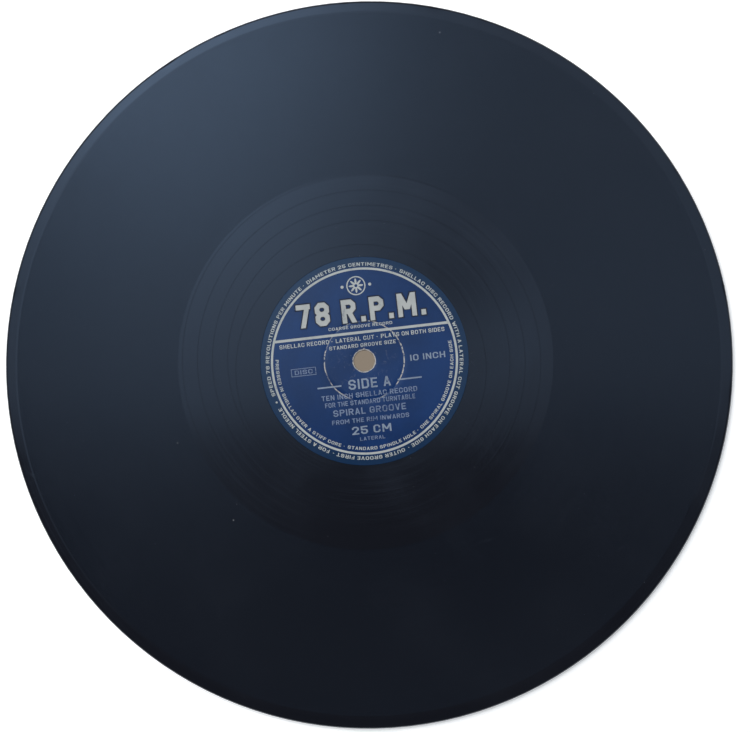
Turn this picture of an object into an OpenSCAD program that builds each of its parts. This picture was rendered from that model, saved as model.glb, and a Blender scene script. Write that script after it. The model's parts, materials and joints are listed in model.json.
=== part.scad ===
// Ten-inch coarse-groove disc record, pressed in shellac over a stiffened core.
// It is seven layers thick under the labels. From the top they are a paper label, a grooved
// playing face, a sheet of core paper, the core, and the same three again.
// The frame has its origin on the spindle's axis at the underside, with +Z up through side A
// and +Y towards the top of side A's label. All sizes are in millimetres.
// The real recording is one spiral. Here its turns are closed rings, further apart than the
// real ones, at the real width and depth. The lead-out is a spiral of half circles about two
// centres, and it stops a narrow land short of the grooves that the real one runs into.

/* [Disc] */
// Diameter of the disc over its rim
disc_d = 250; // [200:1:310]
// Thickness of the disc from one playing face to the other
disc_t = 2.2; // [1.8:0.05:3.6]
// How far the rounded rim stands out past its two corners
rim_bulge = 0.7; // [0.3:0.05:0.85]
// Diameter of the hole that drops over the turntable's spindle
spindle_hole_d = 7.26; // [6:0.02:9]

/* [Layers] */
// Thickness of each playing face, which is fine shellac compound
face_t = 0.45; // [0.35:0.05:0.6]
// Thickness of each sheet of paper between a playing face and the core
core_paper_t = 0.1; // [0.05:0.01:0.18]

/* [Groove] */
// Width of the smooth band between the disc's edge and the outermost turn
rim_band_w = 4.35; // [3:0.05:10]
// Diameter of the innermost turn of the recording
lead_out_d = 129; // [118:0.5:150]
// Distance between neighbouring turns of the recording
groove_pitch = 0.272; // [0.24:0.004:0.4]
// One turn in this many is cut, so that the solid stays light
turn_step = 5; // [5:1:12]
// Width of the groove where it meets the surface
groove_w = 0.15; // [0.1:0.01:0.2]
// Angle between the two walls of the groove
groove_angle = 90; // [80:1:110]
// Half turns of the lead-out, which swings in from the recording to the closed ring
lead_halves = 7; // [4:1:10]
// Land left at each end of the lead-out, before the groove that it would run into
lead_land = 0.25; // [0.25:0.05:0.6]
// How far the closed ring's centre is off the spindle's axis
ring_offset = 3.2; // [0.5:0.1:4]
// Smooth band between the label's recess and the closed ring where they come nearest
ring_gap = 4; // [2:0.1:6]
// Where the closed ring is furthest out, counted counter-clockwise from +X
ring_angle = 240; // [0:5:355]

/* [Label] */
// Diameter of each paper label
label_d = 71.5; // [60:0.5:86]
// Thickness of the label's paper
label_t = 0.12; // [0.08:0.01:0.2]
// Gap between the label's edge and the wall of its recess
label_gap = 0.04; // [0.02:0.01:0.1]
// How far the label's edge is worn back from the disc's hole, all round
label_wear = 0.32; // [0.04:0.04:1]
// Diameter of the ring that the pressing die leaves in the label
die_ring_d = 27.5; // [20:0.5:34]
// Width of the die's ring
die_ring_w = 0.6; // [0.3:0.1:1.2]
// Depth of the die's ring
die_ring_depth = 0.05; // [0.02:0.01:0.06]

/* [Hidden] */
$fn = 180;

disc_r = disc_d / 2;
hole_r = spindle_hole_d / 2;
label_r = label_d / 2;
label_hole_r = hole_r + label_wear;
recess_r = label_r + label_gap;

// Heights of the surfaces between the layers, from the underside up.
face_b_top = face_t;
paper_b_top = face_b_top + core_paper_t;
core_top = disc_t - face_t - core_paper_t;
paper_a_top = disc_t - face_t;

// The rim is one arc through both corners, with its middle rim_bulge further out.
rim_r = (pow(disc_t / 2, 2) + pow(rim_bulge, 2)) / (2 * rim_bulge);

// The recording runs from groove_out_r in to lead_out_r, in a whole number of turns.
groove_out_r = disc_r - rim_band_w;
lead_out_r = lead_out_d / 2;
turns = round((groove_out_r - lead_out_r) / (groove_pitch * turn_step));
turn_pitch = (groove_out_r - lead_out_r) / turns;
groove_depth = groove_w / 2 / tan(groove_angle / 2);
ring_r = recess_r + ring_gap + ring_offset;

// The lead-out falls by lead_step in each half turn, and ends where the closed ring is furthest out.
lead_in_r = lead_out_r - groove_w - lead_land;
lead_end_r = ring_r + ring_offset + groove_w + lead_land;
lead_step = (lead_in_r - lead_end_r) / lead_halves;

// How far a cutter reaches past the surface that it cuts.
reach = 0.06;

// Half of the disc's section, as a shape in which x is the distance from the axis.
module disc_section() {
    intersection() {
        square([disc_r, disc_t]);
        union() {
            translate([disc_r - rim_r, disc_t / 2]) circle(r = rim_r);
            square([disc_r - rim_r, disc_t]);
        }
    }
}

// The part of the disc between two heights, bored for the spindle.
module layer(low, high) {
    rotate_extrude()
        intersection() {
            disc_section();
            translate([hole_r, low]) square([disc_r, high - low]);
        }
}

// One turn's section at radius r: a vee whose walls carry on above the surface.
function vee(r, top) = [
    [r - (groove_depth + reach) * tan(groove_angle / 2), top + reach],
    [r, top - groove_depth],
    [r + (groove_depth + reach) * tan(groove_angle / 2), top + reach]
];

// A cutter with one vee for each radius in the list, joined above the surface.
module comb(radii, top) {
    back = top + 2 * reach;
    polygon(concat(
        [for (r = radii) each vee(r, top)],
        [[radii[len(radii) - 1] + groove_w, back], [radii[0] - groove_w, back]]
    ));
}

// The recorded turns. Each is a closed ring, a turn_pitch from the next.
module recorded_turns(top) {
    rotate_extrude() comb([for (i = [turns:-1:0]) groove_out_r - i * turn_pitch], top);
}

// The lead-out, drawn as with compasses. Its half turns are half circles about two centres in
// turn, which lie lead_step apart with the axis midway between them.
module lead_out(top) {
    for (k = [0:lead_halves - 1])
        rotate([0, 0, ring_angle - 180 * (lead_halves - k)])
            translate([lead_step / 2, 0, 0])
                rotate_extrude(angle = 180) comb([lead_in_r - (k + 0.5) * lead_step], top);
}

// The ring that closes on itself, off centre so that the arm swings and trips the stop.
module closed_ring(top) {
    rotate([0, 0, ring_angle])
        translate([ring_offset, 0, 0])
            rotate_extrude() comb([ring_r], top);
}

// One playing face lying with its grooves up. Its upper surface is at disc_t.
module playing_face() {
    difference() {
        layer(paper_a_top, disc_t);
        translate([0, 0, disc_t - label_t]) cylinder(r = recess_r, h = label_t + reach);
        recorded_turns(disc_t);
        lead_out(disc_t);
        closed_ring(disc_t);
    }
}

// Half of the die's mark in section: a shallow vee that carries on straight up above the label.
module die_mark() {
    inner = (die_ring_d - die_ring_w) / 2;
    outer = (die_ring_d + die_ring_w) / 2;
    polygon([
        [inner, disc_t],
        [die_ring_d / 2, disc_t - die_ring_depth],
        [outer, disc_t],
        [outer, disc_t + reach],
        [inner, disc_t + reach]
    ]);
}

// One label lying face up, flush with the playing face round it.
module label() {
    rotate_extrude()
        difference() {
            translate([label_hole_r, disc_t - label_t]) square([label_r - label_hole_r, label_t]);
            die_mark();
        }
}

// Turns a piece of side A over to make side B's, about the X axis.
module turned_over() {
    translate([0, 0, disc_t]) rotate([180, 0, 0]) children();
}

module core() {
    color([0.10, 0.10, 0.11]) layer(paper_b_top, core_top);
}

module core_paper_a() {
    color([0.62, 0.55, 0.42]) layer(core_top, paper_a_top);
}

module core_paper_b() {
    color([0.62, 0.55, 0.42]) layer(face_b_top, paper_b_top);
}

module playing_face_a() {
    color([0.13, 0.15, 0.18]) playing_face();
}

module playing_face_b() {
    color([0.13, 0.15, 0.18]) turned_over() playing_face();
}

module label_a() {
    color([0.08, 0.17, 0.38]) label();
}

module label_b() {
    color([0.08, 0.17, 0.38]) turned_over() label();
}

core();
core_paper_a();
core_paper_b();
playing_face_a();
playing_face_b();
label_a();
label_b();
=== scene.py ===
"""Looks of a ten-inch shellac record: its spiral groove, run-out, rim, paper labels and print.

The frame has its origin on the spindle's axis at the disc's underside, with +Z out of side A.
Lengths are in metres, and a value in millimetres is multiplied by MM.
"""
import json
import math

import bpy
import numpy as np
from mathutils import Matrix, Vector


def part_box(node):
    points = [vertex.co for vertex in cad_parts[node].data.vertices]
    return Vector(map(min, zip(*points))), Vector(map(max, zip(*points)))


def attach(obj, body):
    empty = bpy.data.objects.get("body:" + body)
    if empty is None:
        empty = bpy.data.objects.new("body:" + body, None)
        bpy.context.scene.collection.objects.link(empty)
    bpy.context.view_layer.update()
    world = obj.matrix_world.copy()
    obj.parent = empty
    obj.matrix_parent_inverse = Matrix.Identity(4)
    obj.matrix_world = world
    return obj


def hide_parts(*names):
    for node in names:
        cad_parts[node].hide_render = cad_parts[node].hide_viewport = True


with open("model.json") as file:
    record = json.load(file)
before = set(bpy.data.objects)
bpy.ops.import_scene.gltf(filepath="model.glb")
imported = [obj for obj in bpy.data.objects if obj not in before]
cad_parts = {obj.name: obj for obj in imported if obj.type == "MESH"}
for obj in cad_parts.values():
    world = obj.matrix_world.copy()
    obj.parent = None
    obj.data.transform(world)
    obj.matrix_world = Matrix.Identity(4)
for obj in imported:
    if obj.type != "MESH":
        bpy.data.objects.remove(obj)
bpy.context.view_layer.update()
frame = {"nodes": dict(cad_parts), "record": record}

MM = 0.001
SEED = 78
full_turn = 2 * math.pi
weld_step = 1e-9

# Sizes that come from the frame
face_low, face_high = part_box("playing_face_a")
label_low, label_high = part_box("label_a")
disc_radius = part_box("core")[1].x
disc_top = face_high.z
face_floor = face_low.z
label_radius = label_high.x
label_thick = label_high.z - label_low.z
bores = [m for m in frame["record"]["mounts"] if m["name"] == "spindle_hole"]
hole_radius = bores[0]["dims"]["r_mm"] * MM

# Rim: one arc through both corners of the disc, which stand back from its widest line
rim_bulge = 0.7 * MM
rim_band = 4.35 * MM
rim_arc = ((disc_top / 2) ** 2 + rim_bulge**2) / (2 * rim_bulge)
corner_in = 0.32 * MM
corner_down = 0.11 * MM
corner_rows = 7
rim_steps = 720

# The rim band's raised bead, which starts a little outside the recording
bead_start = 0.10 * MM
bead_width = 0.70 * MM
bead_crease = 0.06 * MM
bead_rows = 6

# Worn spots on the rim's corner: their sizes as shares, and their widths in radians
wear_spots = 26
wear_sizes = (0.2, 1)
wear_widths = (0.006, 0.03)
wear_reach = 0.25 * MM
wear_in = 0.10 * MM
wear_down = 0.05 * MM
rim_seed = 5

# Heights: print and rim bead reach the disc's top, and the rest lies a little lower
print_thick = 0.014 * MM
print_root = 0.02 * MM
stroke_step = 0.0004 * MM
surface_drop = 0.022 * MM
surface = disc_top - surface_drop
label_top = disc_top - print_thick

# Recorded spiral
groove_outer = disc_radius - rim_band
groove_inner = 64.5 * MM
groove_pitch = 0.272 * MM
groove_width = 0.15 * MM
groove_floor_w = 0.036 * MM
groove_depth = 0.058 * MM
groove_wander = 0.012 * MM
loud_middle = 0.55
loud_swing = 0.45
passage_turns = 5
spare_turns = 2
turn_steps = 288
crease_angle = math.radians(10)
band_edges = [groove_outer, 102 * MM, 83.2 * MM, groove_inner]

# Lead-out and closed ring
lead_pitch = 5.24 * MM
lead_start = math.radians(60)
lead_turns = 3.5
lead_width = 0.15 * MM
lead_floor_w = 0.06 * MM
lead_depth = 0.045 * MM
ring_gap = 4.0 * MM
ring_offset = 3.2 * MM
ring_angle = math.radians(240)
recess_gap = 0.04 * MM
recess_radius = label_radius + recess_gap
lip_land = 0.4 * MM
lip_width = 0.05 * MM
lip_drop = 0.03 * MM
ring_radius = recess_radius + ring_gap + ring_offset

# Label, its pressed ring and its cockle
label_steps = 360
label_seed = 20
label_edge_w = 0.12 * MM
label_edge_drop = 0.03 * MM
die_ring_radius = 13.75 * MM
die_ring_width = 0.6 * MM
die_ring_depth = 0.03 * MM
cockle_height = 0.004 * MM
cockle_waves = 5
cockle_swirl = 4.5 * MM
cockle_fade = 4 * MM
die_ring_rows = 5
rows_inside_ring = np.arange(6, 13.2, 1.2) * MM
rows_outside_ring = np.arange(15.5, 35.3, 1.6) * MM

# The label's torn hole: slow bites, fine fraying, and one nick with bare paper at x, y and radius
torn_least = 0.01 * MM
torn_most = 0.10 * MM
torn_face = 0.10 * MM
torn_slope = 0.35 * MM
torn_drop = 0.05 * MM
torn_face_drop = 0.015 * MM
bite_steps = 18
bite_share = 0.32
fray_steps = 3
fray_share = 0.18
join_steps = 14
nick_deep = 0.14 * MM
nick_angle = math.radians(84)
nick_width = 0.13
nick_place = (0.40 * MM, 4.00 * MM, 0.50 * MM)

# Type, as shares of a letter's height, width or stroke
letter_width = 0.66
letter_shares = {"M": 1.3, "W": 1.4, "E": 0.88, "F": 0.85, "L": 0.85, "-": 0.6}
narrow_letters = "I1."
narrow_width = 1.01
space_width = 0.55
letter_gap = 0.1
stroke_gap = 0.5
light_type = 0.16
ring_type_weight = 0.17

# Flecks on side A that show up best, as x, y, radius and lightness
flecks = [
    (38.4 * MM, 109.8 * MM, 0.22 * MM, 0.30),
    (-50.6 * MM, -49.3 * MM, 0.30 * MM, 0.16),
    (-67.1 * MM, -20.9 * MM, 0.26 * MM, 0.12),
    (-48.9 * MM, -44.0 * MM, 0.20 * MM, 0.08),
    (-43.2 * MM, -81.8 * MM, 0.32 * MM, 0.0),
]

# Scale of the label paper's fibre, which shows through the ink too
label_fibre = 1500.0

# Camera, with its lens and sensor in millimetres
camera_place = Vector((0.0290, -0.0271, 0.5000))
camera_aim = Vector((0.0035, -0.0022, disc_top))
camera_roll = math.radians(6.32)
camera_lens = 69.96
sensor_width = 36
nearest_seen = 0.01

# Light, as shares of white: the walls of the room, the dim part overhead and the pale ceiling
wall_light = 0.10
ceiling_dim = 0.08
ceiling_light = 0.80

# The ceiling's edge: its slant and the slopes that it lies between
ceiling_slant = 0.10
ceiling_edge = (-0.008, 0.022)

# Where the walls and the white horizon start and are full, as the height of a direction, and the
# least height that a slope is worked out with
wall_heights = (0.88, 0.70)
horizon_heights = (0.34, 0.12)
least_height = 0.001

# Bright and dark patches of the ceiling: slopes to the east and north, widths and strength
ceiling_patches = [
    (-0.19, 0.35, 0.12, 0.17, 3.70),
    (-0.11, 0.14, 0.07, 0.07, 0.40),
    (-0.21, 0.02, 0.075, 0.075, 0.28),
    (0.052, 0.055, 0.035, 0.035, 0.35),
    (0.012, 0.110, 0.045, 0.045, -0.42),
    (-0.045, 0.140, 0.045, 0.045, -0.22),
    (0.160, -0.050, 0.055, 0.050, 0.15),
    (-0.060, 0.280, 0.050, 0.060, 0.75),
]

# Lamp and floor, and the warm patch that the hole shows, whose radius and soft edge are in millimetres. The
# patch is unlit and glows: painted light in place of lit floor, so that the hole shows no shade
lamp_place = Vector((-0.55, 0.70, 1.10))
lamp_size = 1.1
lamp_power = 24.0
lamp_tint = (1.0, 0.975, 0.94)
floor_size = 6.0
floor_gap = 0.05 * MM
glow_patch_radius = 110.0
glow_patch_edge = 5.0


def srgb(red, green, blue):
    """A colour given as 0 to 255 in sRGB, in linear light with full alpha."""
    share = np.array([red, green, blue]) / 255
    light = np.where(share <= 0.04045, share / 12.92, ((share + 0.055) / 1.055) ** 2.4)
    return (*light.tolist(), 1.0)


# Colours
SHELLAC = (0.0032, 0.0032, 0.0056, 1.0)
SHELLAC_SMOOTH = (0.0055, 0.0055, 0.0080, 1.0)
SHELLAC_DULL = (0.0110, 0.0115, 0.0155, 1.0)
DUST = (0.36, 0.36, 0.37, 1.0)
CORE_DARK = (0.012, 0.012, 0.013, 1.0)
CORE_GRIT = (0.075, 0.072, 0.068, 1.0)
CORE_PAPER = (0.30, 0.235, 0.145, 1.0)
CORE_PAPER_DARK = (0.13, 0.095, 0.055, 1.0)
LABEL_BLUE = srgb(10, 43, 92)
LABEL_DEEP = srgb(7, 35, 78)
LABEL_MARGIN = srgb(12, 38, 68)
LABEL_FADED = srgb(46, 68, 104)
PAPER_BARE = srgb(178, 174, 168)
PRINT_CREAM = srgb(168, 171, 170)
PRINT_SILVER = srgb(128, 139, 156)
PRINT_WORN = srgb(112, 124, 148)
PRINT_DARK = srgb(14, 20, 42)
SKY_TINT = (0.70, 0.84, 1.0, 1.0)
# Specular tint of the shellac: a painted bluish cast on its reflections, standing in for part of the room's
# blue light
SHELLAC_PAINTED_SKY_TINT = (0.63, 0.78, 1.0, 1.0)
# Specular tint of the label: a painted bluish cast on its gloss, standing in for part of the room's blue
# light
LABEL_PAINTED_SKY_TINT = (0.84, 0.94, 1.0, 1.0)
FLOOR_WHITE = (0.82, 0.82, 0.82, 1.0)
# Colour of the patch under the disc, which glows there as painted light in place of lit floor
HOLE_PATCH_PAINTED_GLOW = srgb(138, 127, 114)
FLOOR_NONE = (0.0, 0.0, 0.0, 1.0)
WHITE = (1.0, 1.0, 1.0, 1.0)


# Mesh tools

def weld(points, faces):
    """Merges points that share a place, and drops the triangles that this leaves with no area."""
    key = np.round(points / weld_step).astype(np.int64)
    _, first, back = np.unique(key, axis=0, return_index=True, return_inverse=True)
    faces = back.reshape(-1)[faces]
    a, b, c = faces.T
    whole = (a != b) & (b != c) & (c != a)
    return points[first], faces[whole]


def facing_out(points, faces):
    """The faces, turned round if the volume that they enclose comes out negative."""
    a, b, c = (points[faces[:, k]] for k in range(3))
    volume = np.einsum("ij,ij->i", a, np.cross(b, c)).sum()
    return faces if volume > 0 else faces[:, ::-1]


def closed_shell(points, faces):
    """One closed shape with its seams welded and its faces turned outward."""
    points, faces = weld(points, faces)
    return points, facing_out(points, faces)


def turned_over(points):
    """The same points on side B: half a turn about the X axis through the disc's middle."""
    return points * [1, -1, -1] + [0, 0, disc_top]


def make_piece(name, points, faces, side, material, slot):
    """Puts arrays of points and triangles into a mesh on the disc, creased where it turns sharply."""
    if side == "b":
        points = turned_over(points)
    mesh = bpy.data.meshes.new(name)
    mesh.vertices.add(len(points))
    mesh.vertices.foreach_set("co", points.astype(np.float32).ravel())
    mesh.loops.add(faces.size)
    mesh.loops.foreach_set("vertex_index", faces.astype(np.int32).ravel())
    mesh.polygons.add(len(faces))
    mesh.polygons.foreach_set("loop_start", np.arange(0, faces.size, 3, dtype=np.int32))
    mesh.update(calc_edges=True)
    mesh.validate()
    mesh.shade_smooth()
    mesh.set_sharp_from_angle(angle=crease_angle)
    piece = bpy.data.objects.new(name, mesh)
    bpy.context.scene.collection.objects.link(piece)
    mesh.materials.append(material)
    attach(piece, "root")
    return piece


def circle_angles(steps):
    """Angles of a whole turn in even steps, the last of them a full turn on from the first."""
    return np.linspace(0, full_turn, steps + 1)


def grid_faces(rows, columns):
    """Two triangles for each cell of a grid whose rows close on themselves."""
    row = np.arange(rows)[:, None]
    column = np.arange(columns - 1)[None, :]
    here = row * columns + column
    beside = here + 1
    below = (row + 1) % rows * columns + column
    across = below + 1
    first = np.stack([here, beside, across], -1)
    second = np.stack([here, across, below], -1)
    return np.stack([first, second], 2).reshape(-1, 3)


def ring_solid(radii, heights, angles):
    """A closed ring whose section, one column for each angle, is a loop of radii and heights."""
    x = radii * np.cos(angles)
    y = radii * np.sin(angles)
    points = np.stack([x, y, heights], -1).reshape(-1, 3)
    return closed_shell(points, grid_faces(len(radii), len(angles)))


# Playing faces

def vee_height(distance, width, floor_w, depth):
    """How far the surface lies below its land at a distance from a groove's centre line.

    It is the full depth over the floor's width, and rises evenly from there to the groove's edge.
    """
    slope = (width / 2 - distance) / (width / 2 - floor_w / 2)
    return -depth * np.clip(slope, 0, 1)


def grooved_ring(centres, outer, inner, width, floor_w, depth, angles, inside=()):
    """A ring of the disc between two radii, its top cut along centre lines that wind through it.

    Row k of centres holds the radius of the k-th crossing, from outside in, at each angle. Each
    crossing gives four rows, at the groove's two edges and the two sides of its floor, and where
    two grooves run into each other the rows between them meet halfway. The first and last
    crossings have no neighbour on one side, and count as far from one there. Rows past the ring's
    edges are held on the edge and welded away. inside holds further (radius, height) pairs of the
    section, between the inner edge and the underside.
    """
    columns = centres.shape[1]
    gaps = np.full((len(centres) + 1, columns), disc_radius)
    gaps[1:-1] = np.maximum(centres[:-1] - centres[1:], 0) / 2
    rows = []
    heights = []
    for reach, gap, sign in (
        (width / 2, gaps[:-1], 1),
        (floor_w / 2, gaps[:-1], 1),
        (floor_w / 2, gaps[1:], -1),
        (width / 2, gaps[1:], -1),
    ):
        distance = np.minimum(reach, gap)
        rows.append(centres + sign * distance)
        heights.append(vee_height(distance, width, floor_w, depth))
    rows = np.stack(rows, 1).reshape(-1, columns)
    heights = np.stack(heights, 1).reshape(-1, columns)
    outer_height = vee_height(np.abs(outer - centres).min(0), width, floor_w, depth)
    inner_height = vee_height(np.abs(inner - centres).min(0), width, floor_w, depth)
    heights = np.where(rows > outer, outer_height, heights)
    heights = np.where(rows < inner, inner_height, heights)
    rows = np.clip(rows, inner, outer)

    edge = np.ones(columns)
    tail = [(inner, None), *inside, (inside[-1][0] if inside else inner, face_floor), (outer, face_floor)]
    tail_rows = [radius * edge for radius, _ in tail]
    tail_heights = [inner_height + surface if z is None else z * edge for _, z in tail]
    radii = np.concatenate([[outer * edge], rows, tail_rows])
    z = np.concatenate([[outer_height + surface], heights + surface, tail_heights])
    return ring_solid(radii, z, angles)


def smooth_noise(count, span, rng):
    """A wandering line of count values from -1 to 1, whose bends are about span values long.

    One random value is drawn for each bend, and a smooth S leads from each to the next.
    """
    knots = rng.uniform(-1, 1, count // span + 3)
    place = np.arange(count) / span
    low = np.floor(place).astype(int)
    part = place - low
    part = part * part * (3 - 2 * part)
    return knots[low] * (1 - part) + knots[low + 1] * part


def recorded_centres(first, last, angles, rng_seed):
    """Centre lines of the recorded spiral between two turns: the radius falls by one pitch a turn.

    The line wanders a little, by loud and quiet passages, as a function of the length along it,
    so that the end of one turn is the start of the next.
    """
    steps = len(angles) - 1
    turns = math.ceil((groove_outer - groove_inner) / groove_pitch) + 2 * spare_turns
    rng = np.random.default_rng(rng_seed)
    count = turns * steps + 1
    loudness = loud_middle + loud_swing * smooth_noise(count, steps * passage_turns, rng)
    wander = groove_wander * loudness * rng.uniform(-1, 1, count)
    turn = np.arange(first, last)[:, None]
    step = np.arange(steps + 1)[None, :]
    along = turn + step / steps
    line = groove_outer - groove_pitch * along
    return line + wander[(turn + spare_turns) * steps + step]


def groove_bands(side, material):
    """The recorded face in rings, so that no piece holds too many triangles."""
    angles = circle_angles(turn_steps)
    for k, (outer, inner) in enumerate(zip(band_edges[:-1], band_edges[1:])):
        first = math.floor((groove_outer - outer) / groove_pitch) - spare_turns
        last = math.ceil((groove_outer - inner) / groove_pitch) + spare_turns
        centres = recorded_centres(first, last, angles, SEED + ord(side))
        shape = grooved_ring(
            centres, outer, inner, groove_width, groove_floor_w, groove_depth, angles
        )
        make_piece(f"groove_band_{side}_{k + 1}", *shape, side, material, "shellac")


def lead_out_centres(angles):
    """The lead-out spiral and the closed ring, as crossings from outside in.

    The spiral's radius falls by lead_pitch a turn, counted from where it leaves the recording, and
    never falls below the ring. The ring's radius is that of a circle whose centre lies
    ring_offset off the axis.
    """
    swing = angles - ring_angle
    ring = ring_offset * np.cos(swing) + np.sqrt(
        ring_radius**2 - (ring_offset * np.sin(swing)) ** 2
    )
    crossings = np.arange(-1, math.ceil(lead_turns) + 1)[:, None]
    wound = crossings + (angles - lead_start)[None, :] / full_turn
    spiral = groove_inner - lead_pitch * wound
    spiral = np.where(wound > lead_turns, ring, spiral)
    return np.concatenate([np.maximum(spiral, ring), ring[None, :]])


def run_out(side, material):
    """The smooth band between the recording and the label, with the label's recess and the hole."""
    angles = circle_angles(turn_steps)
    recess_floor = label_top - label_thick
    inside = [
        (recess_radius + lip_width, surface),
        (recess_radius, surface - lip_drop),
        (recess_radius, recess_floor),
        (hole_radius, recess_floor),
    ]
    shape = grooved_ring(
        lead_out_centres(angles), groove_inner, recess_radius + lip_land,
        lead_width, lead_floor_w, lead_depth, angles, inside,
    )
    make_piece(f"run_out_{side}", *shape, side, material, "shellac")


def rim_ring(side, material):
    """The smooth band at the edge and the upper part of the rounded rim.

    Its corner is a quadratic curve from the flat bead, which rises in a smooth S, down to the
    rim's arc. Small spots of the edge are worn, where the corner is drawn in by up to a tenth of a
    millimetre. A spot is a bell curve, both along the edge and across the corner.
    """
    angles = circle_angles(rim_steps)
    arc_centre = disc_radius - rim_arc
    middle = disc_top / 2

    def arc_radius(z):
        return arc_centre + np.sqrt(rim_arc**2 - (z - middle) ** 2)

    corner = disc_radius - rim_bulge
    t = np.linspace(0, 1, corner_rows)
    foot = arc_radius(disc_top - corner_down)
    curve_r = (corner - corner_in) * (1 - t) ** 2 + corner * 2 * t * (1 - t) + foot * t**2
    curve_z = disc_top - corner_down * t**2
    fall_z = np.linspace(disc_top - corner_down, face_floor, corner_rows)[1:]
    rise = np.linspace(0, 1, bead_rows)
    bead_r = groove_outer + bead_start + bead_width * rise
    bead_z = surface + surface_drop * rise * rise * (3 - 2 * rise)
    flat_r = [bead_r[-1] + bead_crease, curve_r[0] - bead_crease]
    radii = np.concatenate([[groove_outer, groove_outer], bead_r, flat_r, curve_r, arc_radius(fall_z)])
    heights = np.concatenate([[face_floor, surface], bead_z, [disc_top, disc_top], curve_z, fall_z])

    rng = np.random.default_rng(SEED + rim_seed + ord(side))
    places = rng.uniform(0, full_turn, wear_spots)
    sizes = rng.uniform(*wear_sizes, wear_spots)
    widths = rng.uniform(*wear_widths, wear_spots)
    wear = np.zeros(rim_steps + 1)
    for place, size, width in zip(places, sizes, widths):
        off = np.angle(np.exp(1j * (angles - place)))
        wear = np.maximum(wear, size * np.exp(-((off / width) ** 2)))
    wear[-1] = wear[0]
    near = np.exp(-(((radii - corner) / wear_reach) ** 2))[:, None]
    even = np.ones(rim_steps + 1)
    ring_r = radii[:, None] * even - wear_in * near * wear
    ring_z = heights[:, None] * even - wear_down * near * wear
    shape = ring_solid(ring_r, ring_z, angles)
    return make_piece(f"rim_band_{side}", *shape, side, material, "shellac")


# Labels and print

def torn_edge(angles, rng):
    """How far the paper stands back from the hole at each angle: slow bites, fine fibres, one nick.

    Both ends of the edge are brought to the middle value, so that they meet. The nick is a bell
    curve of the angle from its middle.
    """
    count = len(angles)
    slow = smooth_noise(count, bite_steps, rng)
    fine = smooth_noise(count, fray_steps, rng)
    bite = 0.5 + bite_share * slow + fray_share * fine
    from_end = np.minimum(np.arange(count), np.arange(count)[::-1])
    bite = 0.5 + (bite - 0.5) * np.clip(from_end / join_steps, 0, 1)
    off = np.angle(np.exp(1j * (angles - nick_angle)))
    nick = np.exp(-((off / nick_width) ** 2))
    return torn_least + (torn_most - torn_least) * bite + nick_deep * nick


def paper_label(side, material):
    """The paper disc: a sheet with a torn hole, a pressed ring and a slight cockle.

    Its top is lowered by a shallow vee at the pressed ring, and by a few waves some thousandths
    of a millimetre high that run round it.
    """
    angles = circle_angles(label_steps)
    rng = np.random.default_rng(SEED + label_seed + ord(side))
    torn = hole_radius + torn_edge(angles, rng)
    rows = np.concatenate([
        rows_inside_ring,
        die_ring_radius + np.linspace(-0.5, 0.5, die_ring_rows) * die_ring_width,
        rows_outside_ring,
        [label_radius - label_edge_w, label_radius],
    ])
    even = np.ones(label_steps + 1)
    torn_rows = [torn, torn + torn_face, torn + torn_slope]
    radii = np.concatenate([torn_rows, rows[:, None] * even])
    off = np.abs(radii - die_ring_radius) / (die_ring_width / 2)
    pressed = die_ring_depth * np.clip(1 - off, 0, 1)
    waves = 0.5 + 0.5 * np.sin(cockle_waves * angles + radii / cockle_swirl)
    fade = np.clip((label_radius - radii) / cockle_fade, 0, 1)
    z = label_top - pressed - cockle_height * waves * fade
    z[0] -= torn_drop
    z[1] -= torn_face_drop
    z[-1] -= label_edge_drop
    low = (label_top - label_thick) * even
    radii = np.concatenate([radii, [radii[-1], radii[0]]])
    z = np.concatenate([z, [low, low]])
    shape = ring_solid(radii, z, angles)
    return make_piece(f"paper_label_{side}", *shape, side, material, "label_paper")


def strip(left, right, top, closed=False):
    """A flat strip between two edges, each given as rows of (x, y), with its root in the paper.

    Its section is a box of four corners, carried from each pair of edge points to the next.
    """
    count = len(left)
    high = np.full((count, 1), top)
    low = high - print_thick - print_root
    corners = [(left, high), (right, high), (right, low), (left, low)]
    points = np.concatenate([np.hstack(corner) for corner in corners])
    faces = grid_faces(4, count)
    if not closed:
        start = np.array([[0, 1, 2], [0, 2, 3]]) * count
        faces = np.concatenate([faces, start, start[:, ::-1] + count - 1])
    return closed_shell(points, faces)


def stroke(line, width, top, closed=False):
    """A strip of even width along a line of (x, y) points, mitred at its corners and square at its ends.

    At a corner its edges lie along the sum of both stretches' normals, far enough out to keep the
    width even.
    """
    line = np.array(line, float)
    ahead = np.diff(line, axis=0)
    ahead = ahead / np.linalg.norm(ahead, axis=1, keepdims=True)
    if closed:
        before = np.concatenate([ahead[-1:], ahead])
        after = np.concatenate([ahead, ahead[:1]])
    else:
        line[0] -= ahead[0] * width / 2
        line[-1] += ahead[-1] * width / 2
        before = np.concatenate([ahead[:1], ahead])
        after = np.concatenate([ahead, ahead[-1:]])
    side = np.stack([-(before + after)[:, 1], (before + after)[:, 0]], 1)
    side = side / (side * np.stack([-after[:, 1], after[:, 0]], 1)).sum(1, keepdims=True)
    return strip(line + side * width / 2, line - side * width / 2, top, closed)


def slant(foot, head, width, top):
    """A straight stroke between two points whose ends are cut level.

    Its level width is its true width times the slant side of a triangle with the sides 1 and its
    lean.
    """
    foot = np.array(foot, float)
    head = np.array(head, float)
    lean = (head[0] - foot[0]) / (head[1] - foot[1])
    half = np.array([width / 2 * math.hypot(1, lean), 0])
    return strip(np.array([foot - half, head - half]), np.array([foot + half, head + half]), top)


def bar(x0, x1, y0, y1):
    """One straight bar, in millimetres."""
    edges = np.array([[[x0, y0], [x1, y0]], [[x0, y1], [x1, y1]]]) * MM
    return strip(edges[1], edges[0], disc_top)


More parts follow.
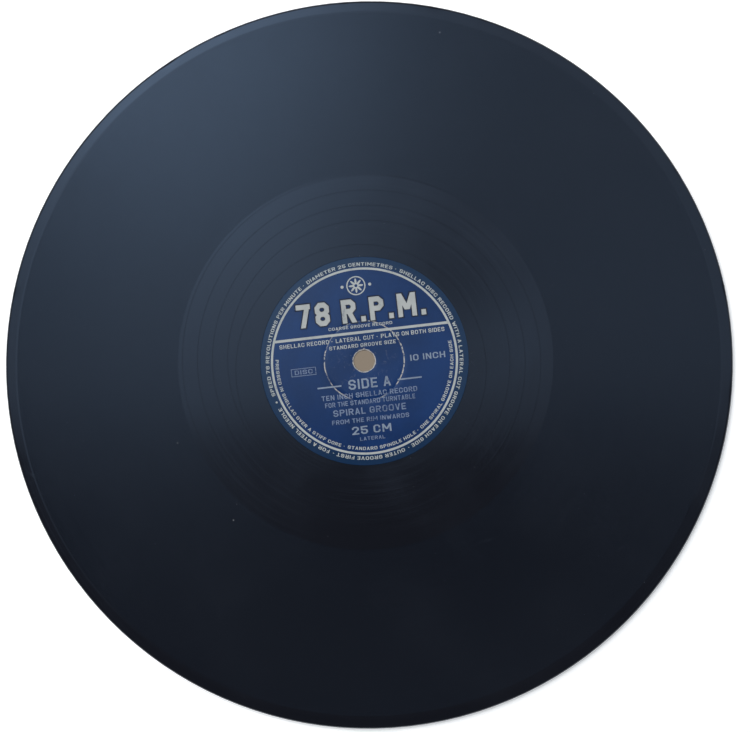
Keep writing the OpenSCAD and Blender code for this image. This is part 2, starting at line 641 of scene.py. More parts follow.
def ring_strip(outer, inner, steps):
    """A thin ring or figure between two radii, each a number or one value for each angle."""
    angles = circle_angles(steps)
    around = np.stack([np.cos(angles), np.sin(angles)], 1)
    even = np.ones(steps + 1)
    outer_edge = around * (outer * even)[:, None]
    inner_edge = around * (inner * even)[:, None]
    return strip(outer_edge, inner_edge, disc_top, closed=True)


def joined(shapes):
    """Several shapes as one set of points and triangles."""
    starts = np.cumsum([0] + [len(points) for points, _ in shapes[:-1]])
    points = np.concatenate([points for points, _ in shapes])
    return points, np.concatenate([faces + start for (_, faces), start in zip(shapes, starts)])


def moved(shape, x, y):
    """The same shape, x and y further on."""
    return shape[0] + [x, y, 0], shape[1]


def bent(shape, radius, middle, inward):
    """A level line of type bent round the axis, with the tops of its letters turned out or in.

    A point's distance along the line becomes an angle, and its height is added to the radius or
    taken from it.
    """
    points, faces = shape
    sign = 1 if inward else -1
    angles = math.radians(middle) + sign * points[:, 0] / radius
    radii = radius - sign * points[:, 1]
    return np.stack([radii * np.cos(angles), radii * np.sin(angles), points[:, 2]], 1), faces


def dot_strip(radius, steps):
    """A small round dot, as a ring whose inner edge is the centre."""
    return ring_strip(radius, 0, steps)


def alphabet():
    """Strokes and slants of each plain block letter in a unit box, its rounds cut off as short corners.

    A stroke is a line of (x, y) points, and a slant is a foot and a head whose ends are cut level.
    x and y are how far a cut-off corner reaches along the letter's width and height.
    """
    x = 0.28
    y = 0.15
    stem = [(0, 0), (0, 1)]
    far_stem = [(1, 0), (1, 1)]
    head = [(0, 1), (1, 1)]
    foot = [(0, 0), (1, 0)]
    top_bowl = [(1 - x, 1), (1, 1 - y), (1, 0.5 + y), (1 - x, 0.5)]
    low_bowl = [(1 - x, 0.5), (1, 0.5 - y), (1, y), (1 - x, 0)]
    left_side = [(1 - x, 1), (x, 1), (0, 1 - y), (0, y), (x, 0), (1 - x, 0), (1, y)]
    ring = [*left_side, (1, 1 - y), (1 - x, 1)]
    hook = [(x, 0), (0, y), (0, 0.22)]
    middle = [(0, 0.5), (0.85, 0.5)]
    top_hook = [(1, 0.78), (1, 1 - y), (1 - x, 1), (x, 1), (0, 1 - y), (0, 0.5 + y), (x, 0.5)]
    two_head = [(0, 0.78), (0, 1 - y), (x, 1), (1 - x, 1), (1, 1 - y), (1, 0.62)]
    left_vee = [((0.25, 0), (0, 1)), ((0.25, 0), (0.5, 0.8))]
    right_vee = [((0.75, 0), (0.5, 0.8)), ((0.75, 0), (1, 1))]
    return {
        "A": ([[(0.25, 0.25), (0.75, 0.25)]], [((0, 0), (0.5, 1)), ((1, 0), (0.5, 1))]),
        "B": ([stem, [(0, 1), *top_bowl, (0, 0.5)], [(0, 0.5), *low_bowl, (0, 0)]], []),
        "C": ([[(1, 0.72), (1, 1 - y), *left_side, (1, 0.28)]], []),
        "D": ([stem, [(0, 1), (1 - x, 1), (1, 1 - y), (1, y), (1 - x, 0), (0, 0)]], []),
        "E": ([stem, head, middle, foot], []),
        "F": ([stem, head, middle], []),
        "G": ([[(1, 0.72), (1, 1 - y), *left_side, (1, 0.45), (0.55, 0.45)]], []),
        "H": ([stem, far_stem, [(0, 0.5), (1, 0.5)]], []),
        "I": ([stem], []),
        "K": ([stem], [((0.05, 0.35), (1, 1)), ((1, 0), (0.35, 0.6))]),
        "L": ([stem, foot], []),
        "M": ([stem, far_stem], [((0.5, 0.3), (0, 1)), ((0.5, 0.3), (1, 1))]),
        "N": ([stem, far_stem], [((1, 0), (0, 1))]),
        "O": ([ring], []),
        "P": ([stem, [(0, 1), *top_bowl, (0, 0.5)]], []),
        "R": ([stem, [(0, 1), *top_bowl, (0, 0.5)]], [((1, 0), (0.5, 0.5))]),
        "S": ([[*top_hook, *low_bowl, *hook]], []),
        "T": ([head, [(0.5, 0), (0.5, 1)]], []),
        "U": ([[(0, 1), (0, y), (x, 0), (1 - x, 0), (1, y), (1, 1)]], []),
        "V": ([], [((0.5, 0), (0, 1)), ((0.5, 0), (1, 1))]),
        "W": ([], [*left_vee, *right_vee]),
        "X": ([], [((0, 0), (1, 1)), ((1, 0), (0, 1))]),
        "Y": ([[(0.5, 0), (0.5, 0.45)]], [((0.5, 0.4), (0, 1)), ((0.5, 0.4), (1, 1))]),
        "Z": ([head, foot], [((0, 0), (1, 1))]),
        "0": ([ring], []),
        "1": ([stem], []),
        "2": ([two_head, foot], [((0, 0.05), (1, 0.64))]),
        "5": ([[(1, 1), (0, 1), (0, 0.56), (1 - x, 0.56), (1, 0.56 - y), (1, y), (1 - x, 0), *hook]], []),
        "7": ([head], [((0.35, 0), (1, 1))]),
        "8": ([
            [(x, 0.5), (0, 0.5 + y), (0, 1 - y), (x, 1), *top_bowl, (x, 0.5)],
            [*low_bowl, (x, 0), (0, y), (0, 0.5 - y), (x, 0.5), (1 - x, 0.5)],
        ], []),
        ".": ([[(0, 0), (0, 0.02)]], []),
        "-": ([[(0, 0.5), (0.2, 0.5)]], []),
    }


def lettering(words, height, stroke_w, width, drop=0.0, grow=0.0):
    """A line of plain block letters about the origin, as high and as wide as asked.

    Each stroke lies a hair lower than the one before it, so that no two faces share a plane. The
    strokes may grow by a margin all round, for an outline under the letters.
    """
    letters = alphabet()
    letter_w = letter_width * height
    gap = stroke_gap * stroke_w + letter_gap * height
    shapes = []
    start = 0.0
    for letter in words:
        if letter == " ":
            start += space_width * letter_w
            continue
        if letter in narrow_letters:
            wide = narrow_width * stroke_w
        else:
            wide = letter_w * letter_shares.get(letter, 1.0)
        lines, slants = letters[letter]
        corner = np.array([start + stroke_w / 2, (stroke_w - height) / 2])
        box = np.array([wide - stroke_w, height - stroke_w])
        top = disc_top - drop
        for line in lines:
            closed = line[0] == line[-1]
            shapes.append(stroke(np.array(line) * box + corner, stroke_w + grow, top, closed))
            top -= stroke_step
        for foot, head in slants:
            ends = np.array([foot, head]) * [wide - stroke_w, height + grow]
            ends = ends + [start + stroke_w / 2, -(height + grow) / 2]
            shapes.append(slant(ends[0], ends[1], stroke_w + grow, top))
            top -= stroke_step
        start += wide + gap
    points, faces = joined(shapes)
    span = start - gap
    points[:, 0] = (points[:, 0] - span / 2) * width / span
    return points, faces


def rosette(x, y, radius):
    """A plain eight-petal rosette inside a ring, with a dot on each side.

    The petals' outer edge is a radius that rises and falls eight times in a turn.
    """
    petals = 8
    petal_steps = 192
    petal_middle = 0.52
    petal_swing = 0.24
    eye = 0.16 * radius
    ring_inside = 0.88 * radius
    beside = 1.45 * radius
    petal_edge = radius * (petal_middle + petal_swing * np.cos(petals * circle_angles(petal_steps)))
    flower = ring_strip(petal_edge, eye, petal_steps)
    ring = ring_strip(radius, ring_inside, steps=96)
    dot = dot_strip(eye, steps=32)
    return joined([
        moved(flower, x, y), moved(ring, x, y), moved(dot, x - beside, y), moved(dot, x + beside, y)
    ])


def level_type(rows):
    """Level lines of light type. A row gives its words, place, width and height in millimetres."""
    weight = light_type * MM
    return joined([
        moved(lettering(words, height * MM, weight * height, width * MM), x * MM, y * MM)
        for words, x, y, width, height in rows
    ])


def ring_type(words, radius, height, middle, span, inward):
    """A line of type bent round the axis, in millimetres and degrees."""
    width = math.radians(span) * radius * MM
    line = lettering(words, height * MM, ring_type_weight * height * MM, width)
    return bent(line, radius * MM, middle, inward)


def label_print(side, cream, silver, worn, dark):
    """The print of one side: a ring, a chord, a rosette, and plain words and numbers about such a disc."""
    chord_y = 9.85
    chord_end_radius = 31.5
    chord_x = math.sqrt(chord_end_radius**2 - chord_y**2)
    chord_half = 0.44
    rule_low = -7.95
    rule_high = -7.45
    box_x = -21.1
    box_y = -1.5
    box_half_w = 4.19
    box_half_h = 1.24
    left = (box_x - box_half_w) * MM
    right = (box_x + box_half_w) * MM
    low = (box_y - box_half_h) * MM
    high = (box_y + box_half_h) * MM
    box_line = [(left, low), (right, low), (right, high), (left, high), (left, low)]
    box_line_w = 0.22 * MM
    mark = ("78 R.P.M.", 8.1 * MM, 1.75 * MM, 44.5 * MM)
    mark_place = (0.75 * MM, 17.5 * MM)
    shadow_drop = 0.006 * MM
    shadow_grow = 0.85 * MM
    title = lettering(f"SIDE {side.upper()}", 3.4 * MM, 0.55 * MM, 14.5 * MM)
    size = lettering("25 CM", 2.7 * MM, 0.45 * MM, 13.5 * MM)
    border_radius = 33.3
    border_words = (
        "SPEED 78 REVOLUTIONS PER MINUTE - DIAMETER 25 CENTIMETRES - SHELLAC DISC RECORD WITH A LATERAL CUT"
        " GROOVE ON EACH SIDE - OUTER GROOVE FIRST - FOR A STEEL NEEDLE"
    )
    border_gap = math.radians(199)
    dot_x = border_radius * MM * math.cos(border_gap)
    dot_y = border_radius * MM * math.sin(border_gap)
    inner_words = (
        "PRESSED IN SHELLAC OVER A STIFF CORE - STANDARD SPINDLE HOLE - ONE SPIRAL GROOVE ON EACH SIDE"
    )
    pieces = {
        "print_ring": (ring_strip(outer=32.12 * MM, inner=31.38 * MM, steps=360), cream),
        "print_chord": (bar(-chord_x, chord_x, chord_y - chord_half, chord_y + chord_half), cream),
        "print_rosette": (rosette(0, 26.0 * MM, 3.3 * MM), cream),
        "print_words": (moved(lettering(*mark), *mark_place), cream),
        "print_shadow": (moved(lettering(*mark, shadow_drop, shadow_grow), *mark_place), dark),
        "print_title": (
            joined([
                moved(title, 1.0 * MM, -7.7 * MM),
                bar(-17.0, -8.7, rule_low, rule_high),
                bar(10.7, 19.0, rule_low, rule_high),
            ]),
            silver,
        ),
        "print_size": (
            joined([moved(size, 0, -23.5 * MM), level_type([("10 INCH", 21.8, -0.8, 12, 2.1)])]),
            silver,
        ),
        "print_border": (
            joined([
                ring_type(border_words, border_radius, height=1.2, middle=19, span=352, inward=False),
                moved(dot_strip(radius=0.35 * MM, steps=24), dot_x, dot_y),
            ]),
            cream,
        ),
        "print_border_inner": (
            ring_type(inner_words, radius=30.0, height=1.1, middle=270, span=194, inward=True),
            cream,
        ),
        "print_box": (
            joined([
                stroke(box_line, box_line_w, disc_top, closed=True),
                level_type([("DISC", box_x, box_y, 6.2, 1.5)]),
            ]),
            worn,
        ),
        "print_lines": (
            level_type([
                ("COARSE GROOVE RECORD", 0, 12.0, 22, 1.0),
                ("SHELLAC RECORD - LATERAL CUT - PLAYS ON BOTH SIDES", 0, 7.8, 57, 1.4),
                ("STANDARD GROOVE SIZE", 0, 5.45, 23, 1.25),
            ]),
            cream,
        ),
        "print_small_lines": (
            level_type([
                ("TEN INCH SHELLAC RECORD", 0.5, -11.4, 33, 1.7),
                ("FOR THE STANDARD TURNTABLE", 0.5, -13.9, 31, 1.6),
                ("SPIRAL GROOVE", 0, -16.9, 25, 2.2),
                ("FROM THE RIM INWARDS", 0, -20.0, 26.5, 1.5),
                ("LATERAL", 0, -26.5, 8.6, 1.2),
            ]),
            worn,
        ),
    }
    for name, (shape, ink) in pieces.items():
        make_piece(f"{name}_{side}", *shape, side, ink, "label_paper")


# Materials

def group(name, inputs, outputs):
    """A new node group with named number or colour sockets, and its input and output nodes."""
    tree = bpy.data.node_groups.new(name, "ShaderNodeTree")
    for socket, kind, value in inputs:
        made = tree.interface.new_socket(socket, in_out="INPUT", socket_type=kind)
        made.default_value = value
    for socket, kind in outputs:
        tree.interface.new_socket(socket, in_out="OUTPUT", socket_type=kind)
    return tree, tree.nodes.new("NodeGroupInput"), tree.nodes.new("NodeGroupOutput")


def node(tree, kind, links=None, **settings):
    """A new node with its settings, and its inputs either linked or set."""
    made = tree.nodes.new(kind)
    for key, value in settings.items():
        setattr(made, key, value)
    for key, value in (links or {}).items():
        if isinstance(value, bpy.types.NodeSocket):
            tree.links.new(value, made.inputs[key])
        else:
            made.inputs[key].default_value = value
    return made


def noise(tree, where, scale, detail=2.0, rough=0.5, distort=0.0):
    """Noise that is read at a place."""
    links = {"Vector": where, "Scale": scale, "Detail": detail, "Roughness": rough, "Distortion": distort}
    return node(tree, "ShaderNodeTexNoise", links).outputs["Fac"]


def ramp(tree, value, low, high, to_low=0.0, to_high=1.0):
    """A value carried smoothly from one range to another, and held at its ends."""
    links = {"Value": value, "From Min": low, "From Max": high, "To Min": to_low, "To Max": to_high}
    made = node(tree, "ShaderNodeMapRange", links, interpolation_type="SMOOTHSTEP")
    return made.outputs["Result"]


def maths(tree, operation, a, b=0.0, c=0.0):
    """One step of arithmetic on values."""
    return node(tree, "ShaderNodeMath", {0: a, 1: b, 2: c}, operation=operation).outputs[0]


def times(tree, a, b):
    """The product of two values."""
    return maths(tree, "MULTIPLY", a, b)


def plus(tree, a, b):
    """The sum of two values."""
    return maths(tree, "ADD", a, b)


def times_plus(tree, a, b, c):
    """The product of two values, and a third added to it."""
    return maths(tree, "MULTIPLY_ADD", a, b, c)


def mixed(tree, share, a, b):
    """Value a carried towards value b by a share."""
    return node(tree, "ShaderNodeMix", {0: share, 2: a, 3: b}, data_type="FLOAT").outputs[0]


def blended(tree, share, a, b):
    """Colour a carried towards colour b by a share."""
    return node(tree, "ShaderNodeMix", {0: share, 6: a, 7: b}, data_type="RGBA").outputs[2]


def far_from(tree, where, place):
    """The distance of a place on the object from a fixed place."""
    links = {0: where, 1: place}
    return node(tree, "ShaderNodeVectorMath", links, operation="DISTANCE").outputs["Value"]


def stretched(tree, where, angle, stretch):
    """A place turned by an angle and drawn out along X, so that noise on it runs in threads."""
    turned = node(tree, "ShaderNodeVectorRotate", {"Vector": where, "Angle": angle})
    links = {0: turned.outputs[0], 1: (stretch, 1, 1)}
    return node(tree, "ShaderNodeVectorMath", links, operation="MULTIPLY").outputs[0]


def around_axis(tree, where):
    """Radius in millimetres and angle in radians about the spindle's axis."""
    parts = node(tree, "ShaderNodeSeparateXYZ", {0: where})
    x = parts.outputs[0]
    y = parts.outputs[1]
    square = plus(tree, times(tree, x, x), times(tree, y, y))
    radius = times(tree, maths(tree, "SQRT", square), 1 / MM)
    return radius, maths(tree, "ARCTAN2", y, x)


def dust_group():
    """Specks of dust: the cores of scattered cells, where few of them are kept."""
    tree, given, out = group(
        "dust",
        [("Vector", "NodeSocketVector", (0, 0, 0)), ("Density", "NodeSocketFloat", 0.1),
         ("Scale", "NodeSocketFloat", 300.0)],
        [("Mask", "NodeSocketFloat")],
    )
    links = {"Vector": given.outputs["Vector"], "Scale": given.outputs["Scale"]}
    cells = node(tree, "ShaderNodeTexVoronoi", links)
    drawn = node(tree, "ShaderNodeSeparateColor", {0: cells.outputs["Color"]}).outputs[0]
    kept = maths(tree, "LESS_THAN", drawn, given.outputs["Density"])
    core = ramp(tree, cells.outputs["Distance"], low=0.07, high=0.02)
    tree.links.new(times(tree, kept, core), out.inputs["Mask"])
    return tree


def scratch_group():
    """Fine scratches: thin level lines of two stretched noises, kept in patches."""
    tree, given, out = group(
        "scratches",
        [("Vector", "NodeSocketVector", (0, 0, 0)), ("Turn", "NodeSocketFloat", 0.6)],
        [("Mask", "NodeSocketFloat")],
    )
    masks = []
    for turn, stretch, scale in ((0.35, 0.05, 260.0), (2.1, 0.035, 340.0)):
        angle = plus(tree, given.outputs["Turn"], turn)
        thread = stretched(tree, given.outputs["Vector"], angle, stretch)
        line = noise(tree, thread, scale, detail=1.0, rough=0.4)
        off = maths(tree, "ABSOLUTE", maths(tree, "SUBTRACT", line, 0.5))
        thin = ramp(tree, off, low=0.006, high=0.001)
        patch = ramp(tree, noise(tree, given.outputs["Vector"], scale=40.0), low=0.55, high=0.7)
        masks.append(times(tree, thin, patch))
    tree.links.new(maths(tree, "MAXIMUM", *masks), out.inputs["Mask"])
    return tree


def fibre_group():
    """Paper fibre: short crossed threads from stretched noises in three directions."""
    tree, given, out = group(
        "fibre",
        [("Vector", "NodeSocketVector", (0, 0, 0)), ("Scale", "NodeSocketFloat", 1500.0)],
        [("Height", "NodeSocketFloat")],
    )
    total = None
    for angle in (0.3, 1.4, 2.5):
        thread = stretched(tree, given.outputs["Vector"], angle, stretch=0.16)
        line = noise(tree, thread, given.outputs["Scale"], detail=1.0)
        total = line if total is None else plus(tree, total, line)
    tree.links.new(times(tree, total, 1 / 3), out.inputs["Height"])
    return tree


def new_material(name):
    """A material with its tree, its shader and the place on the object in metres."""
    made = bpy.data.materials.new(name)
    made.use_nodes = True
    tree = made.node_tree
    shader = tree.nodes["Principled BSDF"]
    where = tree.nodes.new("ShaderNodeTexCoord").outputs["Object"]
    return made, tree, shader, where


def bump(tree, shader, height, strength, distance):
    """A height carried into the shader's normal."""
    made = node(tree, "ShaderNodeBump", {"Height": height, "Strength": strength, "Distance": distance})
    tree.links.new(made.outputs[0], shader.inputs["Normal"])


def from_group(tree, which, links):
    """What a node group gives at a place in a tree."""
    return node(tree, "ShaderNodeGroup", links, node_tree=which).outputs[0]


def shellac_material(name, groups, base, rough, worn_rough, marks, refraction):
    """Polished black shellac compound: dulled in clouds and arcs, with scratches, specks and dust, and
    reflections tinted blue as painted sky light.

    marks says how strongly the dulling, the scratches and the dust show, from 0 to 1.
    """
    arc_spacing = 2.2
    dulled_share = 0.28
    scratch_share = 0.8
    dust_share = 0.2
    dust_rough = 0.4
    grain_height = 0.35
    scratch_depth = -0.8
    made, tree, shader, where = new_material(name)
    radius, angle = around_axis(tree, where)
    clouds = ramp(tree, noise(tree, where, scale=22.0, detail=4.0, rough=0.55), low=0.42, high=0.68)
    arc_place = node(tree, "ShaderNodeCombineXYZ", {0: times(tree, radius, arc_spacing), 1: angle})
    arc_noise = noise(tree, arc_place.outputs[0], scale=1.0, detail=3.0, rough=0.6)
    arcs = ramp(tree, arc_noise, low=0.45, high=0.75)
    scratched = from_group(tree, groups["scratches"], {"Vector": where})
    fine = from_group(tree, groups["dust"], {"Vector": where, "Density": 0.10, "Scale": 420.0})
    coarse = from_group(tree, groups["dust"], {"Vector": where, "Density": 0.02, "Scale": 120.0})
    dusty = times(tree, maths(tree, "MAXIMUM", fine, coarse), marks)
    haze = times(tree, plus(tree, clouds, arcs), dulled_share * marks)
    haze = plus(tree, haze, times(tree, scratched, scratch_share * marks))
    colour = blended(tree, haze, base, SHELLAC_DULL)
    colour = blended(tree, times(tree, dusty, dust_share), colour, DUST)
    for x, y, size, light in flecks:
        off = far_from(tree, where, (x, y, surface))
        inside = ramp(tree, off, low=size, high=0.6 * size)
        colour = blended(tree, inside, colour, (light, light, light, 1.0))
    tree.links.new(colour, shader.inputs["Base Color"])
    roughness = times_plus(tree, haze, worn_rough - rough, rough)
    roughness = times_plus(tree, dusty, dust_rough, roughness)
    tree.links.new(roughness, shader.inputs["Roughness"])
    shader.inputs["IOR"].default_value = refraction
    # Painted sky light: the specular tint turns the shellac's reflections blue in place of blue light
    shader.inputs["Specular Tint"].default_value = SHELLAC_PAINTED_SKY_TINT
    grain = noise(tree, where, scale=900.0, detail=3.0)
    height = times_plus(tree, grain, grain_height, times(tree, scratched, scratch_depth))
    bump(tree, shader, height, strength=0.25, distance=0.006 * MM)
    return made


def core_material():
    """Coarse core compound as its trimmed edge shows it: dark with slate grit and pores."""
    streak_share = 0.35
    core_rough = 0.42
    grit_rough = 0.25
    made, tree, shader, where = new_material("core_compound")
    grit = ramp(tree, noise(tree, where, scale=2600.0, detail=3.0, rough=0.7), low=0.55, high=0.75)
    streak = ramp(tree, noise(tree, where, scale=300.0, detail=3.0), low=0.35, high=0.7)
    colour = blended(tree, grit, CORE_DARK, CORE_GRIT)
    colour = blended(tree, times(tree, streak, streak_share), colour, CORE_GRIT)
    tree.links.new(colour, shader.inputs["Base Color"])
    tree.links.new(times_plus(tree, grit, grit_rough, core_rough), shader.inputs["Roughness"])
    bump(tree, shader, grit, strength=0.5, distance=0.04 * MM)
    return made


def core_paper_material(groups):
    """Kraft sheet at the rim, soaked with shellac and darker in places."""
    fibre_share = 0.5
    soaked_share = 0.6
    sheet_rough = 0.6
    fibre_rough = 0.2
    made, tree, shader, where = new_material("core_paper")
    soaked = ramp(tree, noise(tree, where, scale=180.0, detail=4.0, rough=0.6), low=0.35, high=0.7)
    fibre = from_group(tree, groups["fibre"], {"Vector": where, "Scale": 2400.0})
    share = times_plus(tree, fibre, fibre_share, times(tree, soaked, soaked_share))
    tree.links.new(blended(tree, share, CORE_PAPER, CORE_PAPER_DARK), shader.inputs["Base Color"])
    tree.links.new(times_plus(tree, fibre, fibre_rough, sheet_rough), shader.inputs["Roughness"])
    bump(tree, shader, fibre, strength=0.5, distance=0.03 * MM)
    return made


def label_material(groups):
    """Blue label paper: fibre, uneven ink, bare paper at the torn hole and a rubbed pressed ring."""
    mottled_share = 0.14
    scuffed_share = 0.13
    rubbed_share = 0.9
    bare_share = 0.85
    rubbed_depth = -0.6
    ring_wobble = 0.5
    ring_lean = 0.10
    ring_lean_angle = math.radians(50)
    label_rough = 0.09
    uneven_rough = 0.10
    made, tree, shader, where = new_material("label_paper")
    radius, angle = around_axis(tree, where)
    fibre = from_group(tree, groups["fibre"], {"Vector": where, "Scale": label_fibre})
    uneven = noise(tree, where, scale=60.0, detail=4.0, rough=0.6)
    colour = blended(tree, ramp(tree, uneven, low=0.3, high=0.72), LABEL_DEEP, LABEL_BLUE)
    colour = blended(tree, ramp(tree, radius, low=32.0, high=32.8), colour, LABEL_MARGIN)
    mottled = ramp(tree, noise(tree, where, scale=900.0, detail=4.0, rough=0.7), low=0.5, high=0.8)
    colour = blended(tree, times(tree, mottled, mottled_share), colour, LABEL_FADED)

    # Scuffs round the hole, where the spindle was felt for
    scuff = ramp(tree, radius, low=16.0, high=5.0)
    streak_noise = noise(tree, where, scale=420.0, detail=4.0, rough=0.7, distort=1.5)
    streaks = ramp(tree, streak_noise, low=0.56, high=0.72)
    scuffed = times(tree, times(tree, scuff, streaks), scuffed_share)
    colour = blended(tree, scuffed, colour, PAPER_BARE)

    # The pressed ring, rubbed through to the paper in broken stretches, mostly upper right and lower left
    wobble = times_plus(tree, noise(tree, where, scale=140.0), ring_wobble, -ring_wobble / 2)
    off = maths(tree, "SUBTRACT", plus(tree, radius, wobble), die_ring_radius / MM)
    line = ramp(tree, maths(tree, "ABSOLUTE", off), low=0.26, high=0.12)
    lean = maths(tree, "COSINE", times_plus(tree, angle, 2.0, -ring_lean_angle))
    broken_noise = noise(tree, where, scale=95.0, detail=3.0, rough=0.6)
    broken = ramp(tree, times_plus(tree, lean, ring_lean, broken_noise), low=0.42, high=0.54)
    chafed = ramp(tree, noise(tree, where, scale=1300.0), low=0.34, high=0.55)
    rubbed = times(tree, times(tree, line, broken), chafed)
    colour = blended(tree, times(tree, rubbed, rubbed_share), colour, PAPER_BARE)

    # Bare paper where the edge of the hole is torn, and frayed at the nick
    ragged_noise = noise(tree, where, scale=900.0, detail=3.0, rough=0.65)
    ragged = times_plus(tree, ragged_noise, -1.0, radius)
    bare = times(tree, ramp(tree, ragged, low=3.62, high=3.38), bare_share)
    colour = blended(tree, bare, colour, PAPER_BARE)
    x, y, size = nick_place
    nick = ramp(tree, far_from(tree, where, (x, y, disc_top)), low=size, high=0.5 * size)
    frayed = ramp(tree, noise(tree, where, scale=1600.0, detail=3.0, rough=0.6), low=0.40, high=0.56)
    colour = blended(tree, times(tree, nick, frayed), colour, PAPER_BARE)
    tree.links.new(colour, shader.inputs["Base Color"])
    tree.links.new(times_plus(tree, uneven, uneven_rough, label_rough), shader.inputs["Roughness"])
    # Painted sky light: the specular tint turns the label's gloss blue in place of blue light
    shader.inputs["Specular Tint"].default_value = LABEL_PAINTED_SKY_TINT
    height = times_plus(tree, rubbed, rubbed_depth, fibre)
    bump(tree, shader, height, strength=0.3, distance=0.012 * MM)
    return made


def ink_material(name, groups, ink, under, wear):
    """Printed ink that has worn through to the label in grains, more of them as wear rises."""
    patch_share = 0.9
    worn_share = 0.75
    thin_share = 0.86
    ink_rough = 0.42
    fibre_rough = 0.2
    made, tree, shader, where = new_material(name)
    grain = noise(tree, where, scale=2200.0, detail=3.0, rough=0.65)
    patches = noise(tree, where, scale=160.0, detail=3.0, rough=0.6)
    level = times_plus(tree, patches, patch_share, grain)
    worn = ramp(tree, level, low=1.12 - wear, high=1.32 - wear)
    thin = tuple(thin_share * c for c in ink[:3]) + (1.0,)
    tint = blended(tree, ramp(tree, patches, low=0.3, high=0.7), ink, thin)
    colour = blended(tree, times(tree, worn, worn_share), tint, under)
    tree.links.new(colour, shader.inputs["Base Color"])
    fibre = from_group(tree, groups["fibre"], {"Vector": where, "Scale": label_fibre})
    tree.links.new(times_plus(tree, fibre, fibre_rough, ink_rough), shader.inputs["Roughness"])
    bump(tree, shader, fibre, strength=0.35, distance=0.02 * MM)
    return made


def floor_material():
    """White floor, brighter to the camera far out, with a warm glowing patch that only the hole shows:
    painted light, unlit and glowing in place of lit, shaded floor.
    """
    made, tree, shader, where = new_material("floor")
    radius, _ = around_axis(tree, where)
    outside = ramp(tree, radius, low=glow_patch_radius - glow_patch_edge, high=glow_patch_radius)
    tree.links.new(blended(tree, outside, FLOOR_NONE, FLOOR_WHITE), shader.inputs["Base Color"])
    shader.inputs["Roughness"].default_value = 0.9
    shader.inputs["Specular IOR Level"].default_value = 0.0
    path = tree.nodes.new("ShaderNodeLightPath")
    seen = maths(tree, "MAXIMUM", path.outputs["Is Camera Ray"], path.outputs["Is Glossy Ray"])
    seen = maths(tree, "MAXIMUM", seen, path.outputs["Is Transmission Ray"])
    far_glow = ramp(tree, radius, low=300.0, high=1100.0, to_low=0.45, to_high=1.05)
    # Under the disc the floor is unlit and glows at full strength to every ray: painted light that leaves
    # no shade in the hole
    glow = mixed(tree, outside, 1.0, times(tree, far_glow, seen))
    tree.links.new(blended(tree, outside, HOLE_PATCH_PAINTED_GLOW, FLOOR_WHITE), shader.inputs["Emission Color"])
    tree.links.new(glow, shader.inputs["Emission Strength"])
    return made


# Stage

def add_floor():
    """A plain floor a hair below the disc's underside, so that no two faces share a plane."""
    half = floor_size / 2
    mesh = bpy.data.meshes.new("floor")
    low = -floor_gap
    corners = [(-half, -half, low), (half, -half, low), (half, half, low), (-half, half, low)]
    mesh.from_pydata(corners, [], [(0, 1, 2, 3)])
    mesh.materials.append(floor_material())
    floor = bpy.data.objects.new("floor", mesh)
    bpy.context.scene.collection.objects.link(floor)


def add_world():
    """Soft light from all round: white near the horizon, dim overhead, with a pale ceiling to the north.

    A direction is read as its two slopes off the vertical, x/z and y/z. The ceiling starts at a
    straight edge just north of the zenith, and is brightest in the north-west. Each patch is a bell
    curve of how far a direction's slopes are from its own.
    """
    world = bpy.data.worlds.new("soft_room")
    bpy.context.scene.world = world
    world.use_nodes = True
    tree = world.node_tree
    direction = node(tree, "ShaderNodeTexCoord").outputs["Generated"]
    parts = node(tree, "ShaderNodeSeparateXYZ", {0: direction})
    up = maths(tree, "MAXIMUM", parts.outputs[2], least_height)
    east = maths(tree, "DIVIDE", parts.outputs[0], up)
    north = maths(tree, "DIVIDE", parts.outputs[1], up)

    def patch(at_east, at_north, width, length, strength):
        a = maths(tree, "DIVIDE", maths(tree, "SUBTRACT", east, at_east), width)
        b = maths(tree, "DIVIDE", maths(tree, "SUBTRACT", north, at_north), length)
        square = plus(tree, times(tree, a, a), times(tree, b, b))
        return times(tree, maths(tree, "EXPONENT", times(tree, square, -1.0)), strength)

    slanted = times_plus(tree, east, ceiling_slant, north)
    ceiling = ramp(tree, slanted, *ceiling_edge, to_low=ceiling_dim, to_high=ceiling_light)
    for values in ceiling_patches:
        ceiling = plus(tree, ceiling, patch(*values))
    ceiling = maths(tree, "MAXIMUM", ceiling, ceiling_dim)
    walls = ramp(tree, parts.outputs[2], *wall_heights)
    horizon = ramp(tree, parts.outputs[2], *horizon_heights)
    colour = blended(tree, horizon, SKY_TINT, WHITE)
    strength = mixed(tree, walls, ceiling, wall_light)
    strength = mixed(tree, horizon, strength, 1.0)
    seen = node(tree, "ShaderNodeLightPath").outputs["Is Camera Ray"]
    colour = blended(tree, seen, colour, WHITE)
    strength = mixed(tree, seen, strength, 1.0)
    background = tree.nodes["Background"]
    tree.links.new(colour, background.inputs["Color"])
    tree.links.new(strength, background.inputs["Strength"])


def add_lamp():
    """A large soft lamp from the upper left, which lights paper and dust but shows in no gloss."""
    lamp = bpy.data.lights.new("soft_lamp", "AREA")
    lamp.size = lamp_size
    lamp.energy = lamp_power
    lamp.color = lamp_tint
    holder = bpy.data.objects.new("soft_lamp", lamp)
    holder.location = lamp_place
    holder.rotation_euler = (-lamp_place).to_track_quat("-Z", "Y").to_euler()
    holder.visible_camera = False
    holder.visible_glossy = False
    bpy.context.scene.collection.objects.link(holder)


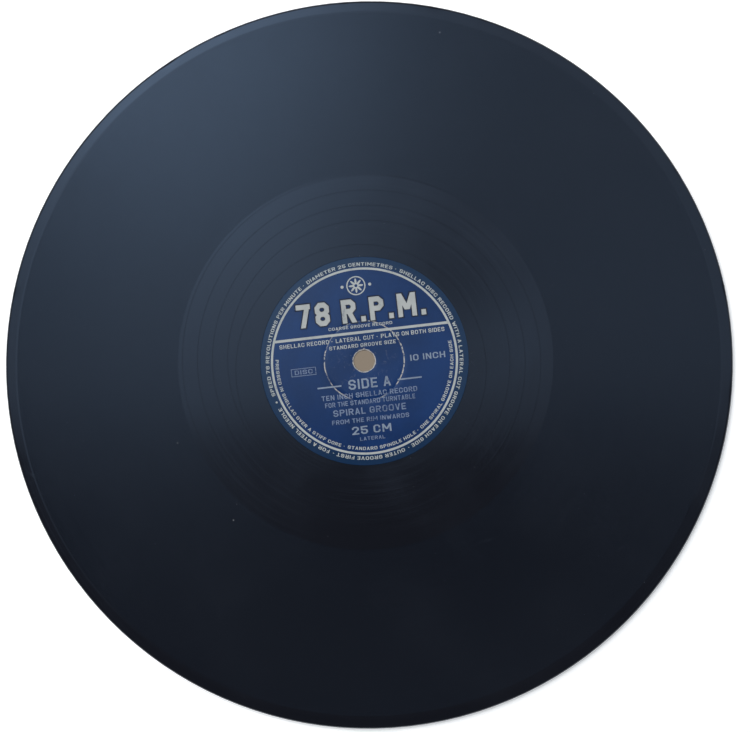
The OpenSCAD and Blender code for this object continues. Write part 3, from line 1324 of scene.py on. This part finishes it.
def add_camera():
    """A camera that looks down on side A, a little from the lower right, rolled to the photo's turn."""
    look = (camera_aim - camera_place).normalized()
    lean = Vector((math.sin(camera_roll), math.cos(camera_roll), 0))
    right = look.cross(lean).normalized()
    up = right.cross(look)
    place = Matrix((right, up, -look)).transposed().to_4x4()
    place.translation = camera_place
    lens = bpy.data.cameras.new("camera")
    lens.sensor_width = sensor_width
    lens.lens = camera_lens
    lens.clip_start = nearest_seen
    holder = bpy.data.objects.new("camera", lens)
    holder.matrix_world = place
    bpy.context.scene.collection.objects.link(holder)
    bpy.context.scene.camera = holder


def dress_node(name, material):
    """A better material on a node that stays as it is."""
    target = frame["nodes"][name]
    target.data.materials.clear()
    target.data.materials.append(material)


add_camera()
add_world()
add_lamp()
add_floor()

groups = {"dust": dust_group(), "scratches": scratch_group(), "fibre": fibre_group()}
grooved_shellac = shellac_material(
    "shellac_grooved", groups, SHELLAC, rough=0.16, worn_rough=0.32, marks=0.6, refraction=1.68
)
smooth_shellac = shellac_material(
    "shellac_smooth", groups, SHELLAC_SMOOTH, rough=0.10, worn_rough=0.30, marks=0.9, refraction=1.55
)
label_paper = label_material(groups)
cream_ink = ink_material("ink_cream", groups, PRINT_CREAM, LABEL_BLUE, wear=0.0)
silver_ink = ink_material("ink_silver", groups, PRINT_SILVER, LABEL_BLUE, wear=0.05)
worn_ink = ink_material("ink_worn", groups, PRINT_WORN, LABEL_BLUE, wear=0.12)
dark_ink = ink_material("ink_dark", groups, PRINT_DARK, LABEL_DEEP, wear=0.0)

dress_node("core", core_material())
core_paper = core_paper_material(groups)
dress_node("core_paper_a", core_paper)
dress_node("core_paper_b", core_paper)

for side in "ab":
    rim = rim_ring(side, smooth_shellac)
    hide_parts(f"playing_face_{side}")
    groove_bands(side, grooved_shellac)
    run_out(side, smooth_shellac)
    label = paper_label(side, label_paper)
    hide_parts(f"label_{side}")
    label_print(side, cream_ink, silver_ink, worn_ink, dark_ink)

scene = bpy.context.scene
scene.view_settings.view_transform = "Standard"
